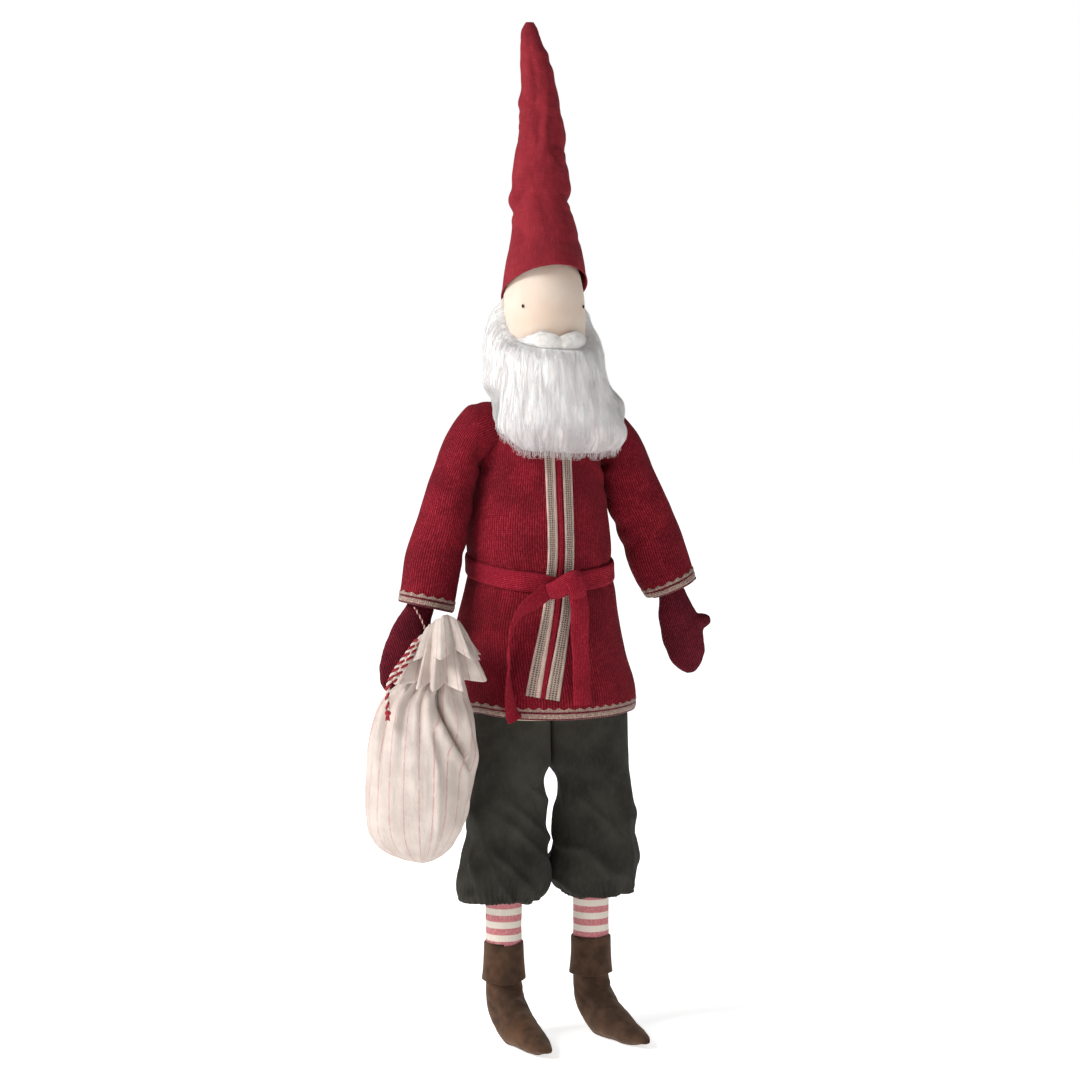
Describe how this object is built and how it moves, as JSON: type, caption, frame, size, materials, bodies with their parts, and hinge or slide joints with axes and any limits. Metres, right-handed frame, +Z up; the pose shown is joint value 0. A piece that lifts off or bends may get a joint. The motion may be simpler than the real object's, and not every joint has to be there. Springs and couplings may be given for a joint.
{
  "type": "soft textile tomte doll",
  "caption": "Stuffed cloth tomte with a tall soft hat, a wool beard, a belted tunic, soft jointed arms and legs, boots and a small drawstring sack.",
  "frame": {"origin": "middle of the base of the neck, on the line between the shoulders", "axes": "+Z up along the doll towards the tip of the hat, +Y towards its back, +X towards its own left hand"},
  "size_m": [0.2754, 0.117, 0.7373],
  "materials": {
    "red_linen": "napped red woven wool, matte",
    "crimson_knit": "fine crimson rib knit, matte",
    "belt_knit": "crimson knitted band, matte",
    "maroon_knit": "dark maroon rib knit, matte",
    "beige_braid": "woven beige braid with a dark zigzag",
    "face_cotton": "cream cotton jersey, soft",
    "eye_thread": "dark thread knot",
    "white_wool": "carded white wool, fibrous",
    "wool_felt": "felted white wool",
    "body_linen": "plain linen stuffed with wadding",
    "stuffing": "loose white wadding",
    "olive_cotton": "brushed dark olive cotton, matte",
    "elastic": "narrow dark elastic",
    "striped_jersey": "jersey with pink and cream stripes",
    "brown_suede": "soft brown suede",
    "sack_cotton": "beige cotton with thin pink stripes",
    "twisted_cord": "red and white twisted cotton cord",
    "red_yarn": "red yarn"
  },
  "bodies": {
    "torso": {"torso": "body_linen", "neck": "body_linen", "tunic_body": "crimson_knit", "tunic_collar": "crimson_knit", "trouser_seat": "olive_cotton", "placket_trim_left": "beige_braid", "placket_trim_right": "beige_braid", "hem_trim": "beige_braid", "belt": "belt_knit", "belt_knot": "belt_knit", "belt_tail_left": "belt_knit", "belt_tail_right": "belt_knit"},
    "head": {"head": "face_cotton", "hat": "red_linen", "hat_filling": "stuffing", "beard": "white_wool", "eye_left": "eye_thread", "eye_right": "eye_thread", "moustache_left": "wool_felt", "moustache_right": "wool_felt"},
    "arm_left": {"arm_left": "body_linen", "sleeve_left": "crimson_knit", "cuff_trim_left": "beige_braid", "mitten_left": "maroon_knit"},
    "arm_right": {"arm_right": "body_linen", "sleeve_right": "crimson_knit", "cuff_trim_right": "beige_braid", "mitten_right": "maroon_knit", "wrist_loop": "twisted_cord"},
    "sack": {"sack": "sack_cotton", "sack_filling": "stuffing", "drawstring_short": "twisted_cord", "drawstring_long": "twisted_cord", "drawstring_tassel": "red_yarn", "hanging_string": "twisted_cord"},
    "leg_left": {"trouser_leg_left": "olive_cotton", "trouser_elastic_left": "elastic", "leg_left": "striped_jersey", "boot_left": "brown_suede", "boot_cuff_left": "brown_suede", "boot_sole_left": "brown_suede"},
    "leg_right": {"trouser_leg_right": "olive_cotton", "trouser_elastic_right": "elastic", "leg_right": "striped_jersey", "boot_right": "brown_suede", "boot_cuff_right": "brown_suede", "boot_sole_right": "brown_suede"}
  },
  "joints": [
    {"name": "head_turn", "type": "hinge", "parent": "torso", "child": "head", "pos_m": [0, -0.008, 0.01], "axis": [0, 0, 1], "range_deg": [-15, 15]},
    {"name": "shoulder_left", "type": "hinge", "parent": "torso", "child": "arm_left", "pos_m": [0.0466, 0, -0.02], "axis": [-1, 0, 0], "range_deg": [-35, 120]},
    {"name": "shoulder_right", "type": "hinge", "parent": "torso", "child": "arm_right", "pos_m": [-0.0466, 0, -0.02], "axis": [-1, 0, 0], "range_deg": [-35, 120]},
    {"name": "sack_swing", "type": "hinge", "parent": "arm_right", "child": "sack", "pos_m": [-0.093, -0.011, -0.1535], "axis": [-1, 0, 0], "range_deg": [0, 25]},
    {"name": "hip_left", "type": "hinge", "parent": "torso", "child": "leg_left", "pos_m": [0.0399, 0, -0.254], "axis": [-1, 0, 0], "range_deg": [-20, 85]},
    {"name": "hip_right", "type": "hinge", "parent": "torso", "child": "leg_right", "pos_m": [-0.0281, 0, -0.254], "axis": [-1, 0, 0], "range_deg": [-20, 85]}
  ]
}
